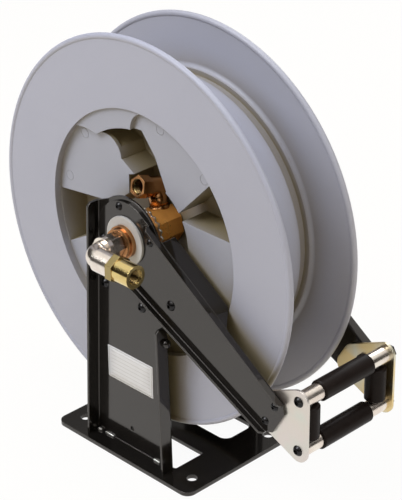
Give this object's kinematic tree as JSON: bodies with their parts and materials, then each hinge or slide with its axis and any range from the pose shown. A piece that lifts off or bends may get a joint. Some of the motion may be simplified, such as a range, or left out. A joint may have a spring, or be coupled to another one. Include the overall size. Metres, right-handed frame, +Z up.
{
  "type": "hose reel",
  "caption": "Spring-rewind hose reel on a floor stand: open moulded drum between bent-steel uprights, swivel inlet elbow, guide arm and a four-roller mouth.",
  "frame": {"origin": "centre of the four base bolt holes, on the underside of the base plate", "axes": "+Z up, +X forward towards the roller mouth, +Y away from the inlet side along the drum axis"},
  "size_m": [0.524, 0.2388, 0.533],
  "materials": {
    "black_paint": "semi-gloss black powder coat",
    "zinc_plate": "bright zinc plate",
    "nickel": "polished nickel plate",
    "black_screws": "black oxide, glossy",
    "steel": "plain zinc-plated steel",
    "drum_grey": "satin moulded light grey",
    "brass": "machined brass",
    "nylon": "satin white-grey nylon",
    "roller_black": "satin black",
    "seal_rubber": "matt"
  },
  "bodies": {
    "stand": {"base_plate": "black_paint", "near_upright": "black_paint", "far_upright": "black_paint", "near_arm": "black_paint", "far_arm": "black_paint", "arm_stiffener": "black_paint", "near_mouth_plate": "zinc_plate", "far_mouth_plate": "zinc_plate", "mouth_spacers": "nickel", "roller_axles": "black_screws", "axle_nuts": "black_screws", "side_roller_pins": "steel", "arm_end_bolts": "steel", "arm_end_nuts": "steel", "hub_screws": "black_screws", "index_screws": "black_screws", "front_bush": "nylon", "spring_arbor": "steel", "arbor_nut": "steel", "pawl_pin": "steel", "pawl_spring": "steel"},
    "drum": {"near_drum_half": "drum_grey", "far_drum_half": "drum_grey", "drum_screws": "steel", "hub_shaft": "brass", "hub_bolts": "steel", "shaft_collar": "steel", "gland_nut": "brass", "outlet_elbow": "brass", "outlet_nipple": "brass", "spring_case": "steel", "spring_cover": "drum_grey", "cover_screws": "steel", "power_spring": "steel", "rear_bush": "nylon", "ratchet_wheel": "steel", "ratchet_screws": "steel"},
    "inlet_swivel": {"inlet_elbow": "nickel", "inlet_coupling": "brass", "swivel_seals": "seal_rubber"},
    "upper_roller": {"upper_roller": "roller_black"},
    "lower_roller": {"lower_roller": "roller_black"},
    "near_side_roller": {"near_side_roller": "roller_black"},
    "far_side_roller": {"far_side_roller": "roller_black"},
    "pawl": {"pawl": "steel"}
  },
  "joints": [
    {"name": "drum_spin", "type": "hinge", "parent": "stand", "child": "drum", "pos_m": [0, 0.00225, 0.293], "axis": [0, 1, 0], "continuous": true, "deforming": ["power_spring"]},
    {"name": "inlet_turn", "type": "hinge", "parent": "stand", "child": "inlet_swivel", "pos_m": [0, -0.12875, 0.293], "axis": [0, 1, 0], "continuous": true},
    {"name": "upper_roller_spin", "type": "hinge", "parent": "stand", "child": "upper_roller", "pos_m": [0.27, 0.00225, 0.1905], "axis": [0, 1, 0], "continuous": true},
    {"name": "lower_roller_spin", "type": "hinge", "parent": "stand", "child": "lower_roller", "pos_m": [0.27, 0.00225, 0.1275], "axis": [0, 1, 0], "continuous": true},
    {"name": "near_side_roller_spin", "type": "hinge", "parent": "stand", "child": "near_side_roller", "pos_m": [0.27, -0.05375, 0.159], "axis": [0, 0, 1], "continuous": true},
    {"name": "far_side_roller_spin", "type": "hinge", "parent": "stand", "child": "far_side_roller", "pos_m": [0.27, 0.05825, 0.159], "axis": [0, 0, 1], "continuous": true},
    {"name": "pawl_lift", "type": "hinge", "parent": "stand", "child": "pawl", "pos_m": [0.00739, 0.06525, 0.21292], "axis": [0, -1, 0], "range_deg": [0, 15], "stiffness_Nm_per_rad": 0.05, "springref_deg": -20.05, "deforming": ["pawl_spring"]}
  ]
}
